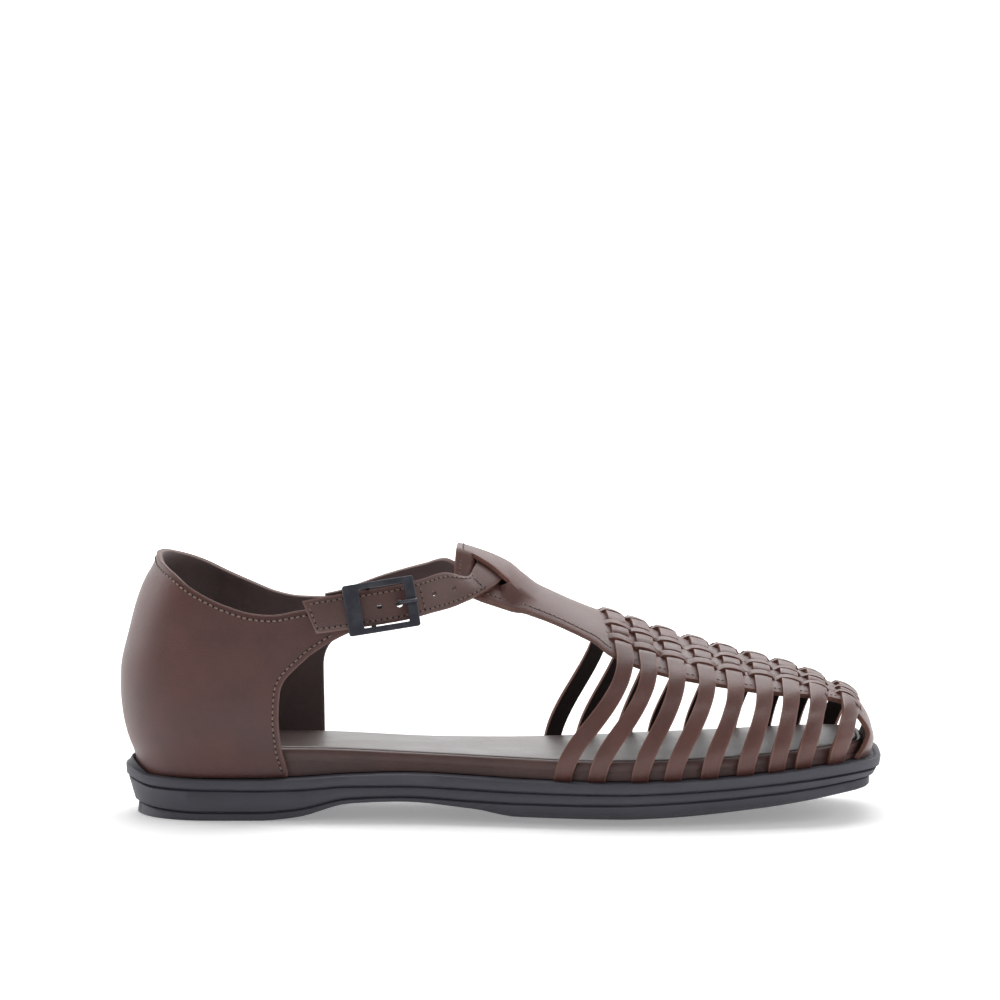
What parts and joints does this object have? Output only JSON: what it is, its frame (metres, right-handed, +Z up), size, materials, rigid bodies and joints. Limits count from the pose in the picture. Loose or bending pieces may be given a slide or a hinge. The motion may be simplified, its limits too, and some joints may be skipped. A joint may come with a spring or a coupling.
{
  "type": "huarache sandal",
  "caption": "Closed-heel T-bar huarache sandal in brown leather: woven strip vamp, ankle strap with gunmetal prong buckle, dark banded rubber sole.",
  "frame": {"origin": "centre of the bounding box in plan, on the ground that the heel and forefoot stand on", "axes": "+X from the heel to the toe, +Y to the medial side (the wearer's left, as this is a right shoe), +Z up"},
  "size_m": [0.26, 0.094, 0.0904],
  "materials": {
    "rubber": "matte",
    "board_leather": "satin",
    "sock_leather": "satin",
    "counter_leather": "satin",
    "vamp_leather": "satin",
    "strap_leather": "satin",
    "gunmetal": "satin"
  },
  "bodies": {
    "root": {"outsole": "rubber", "insole_board": "board_leather", "insole_sock": "sock_leather", "heel_counter": "counter_leather", "woven_vamp": "vamp_leather", "ankle_strap": "strap_leather", "buckle_frame": "gunmetal", "buckle_prong": "gunmetal"}
  },
  "joints": []
}
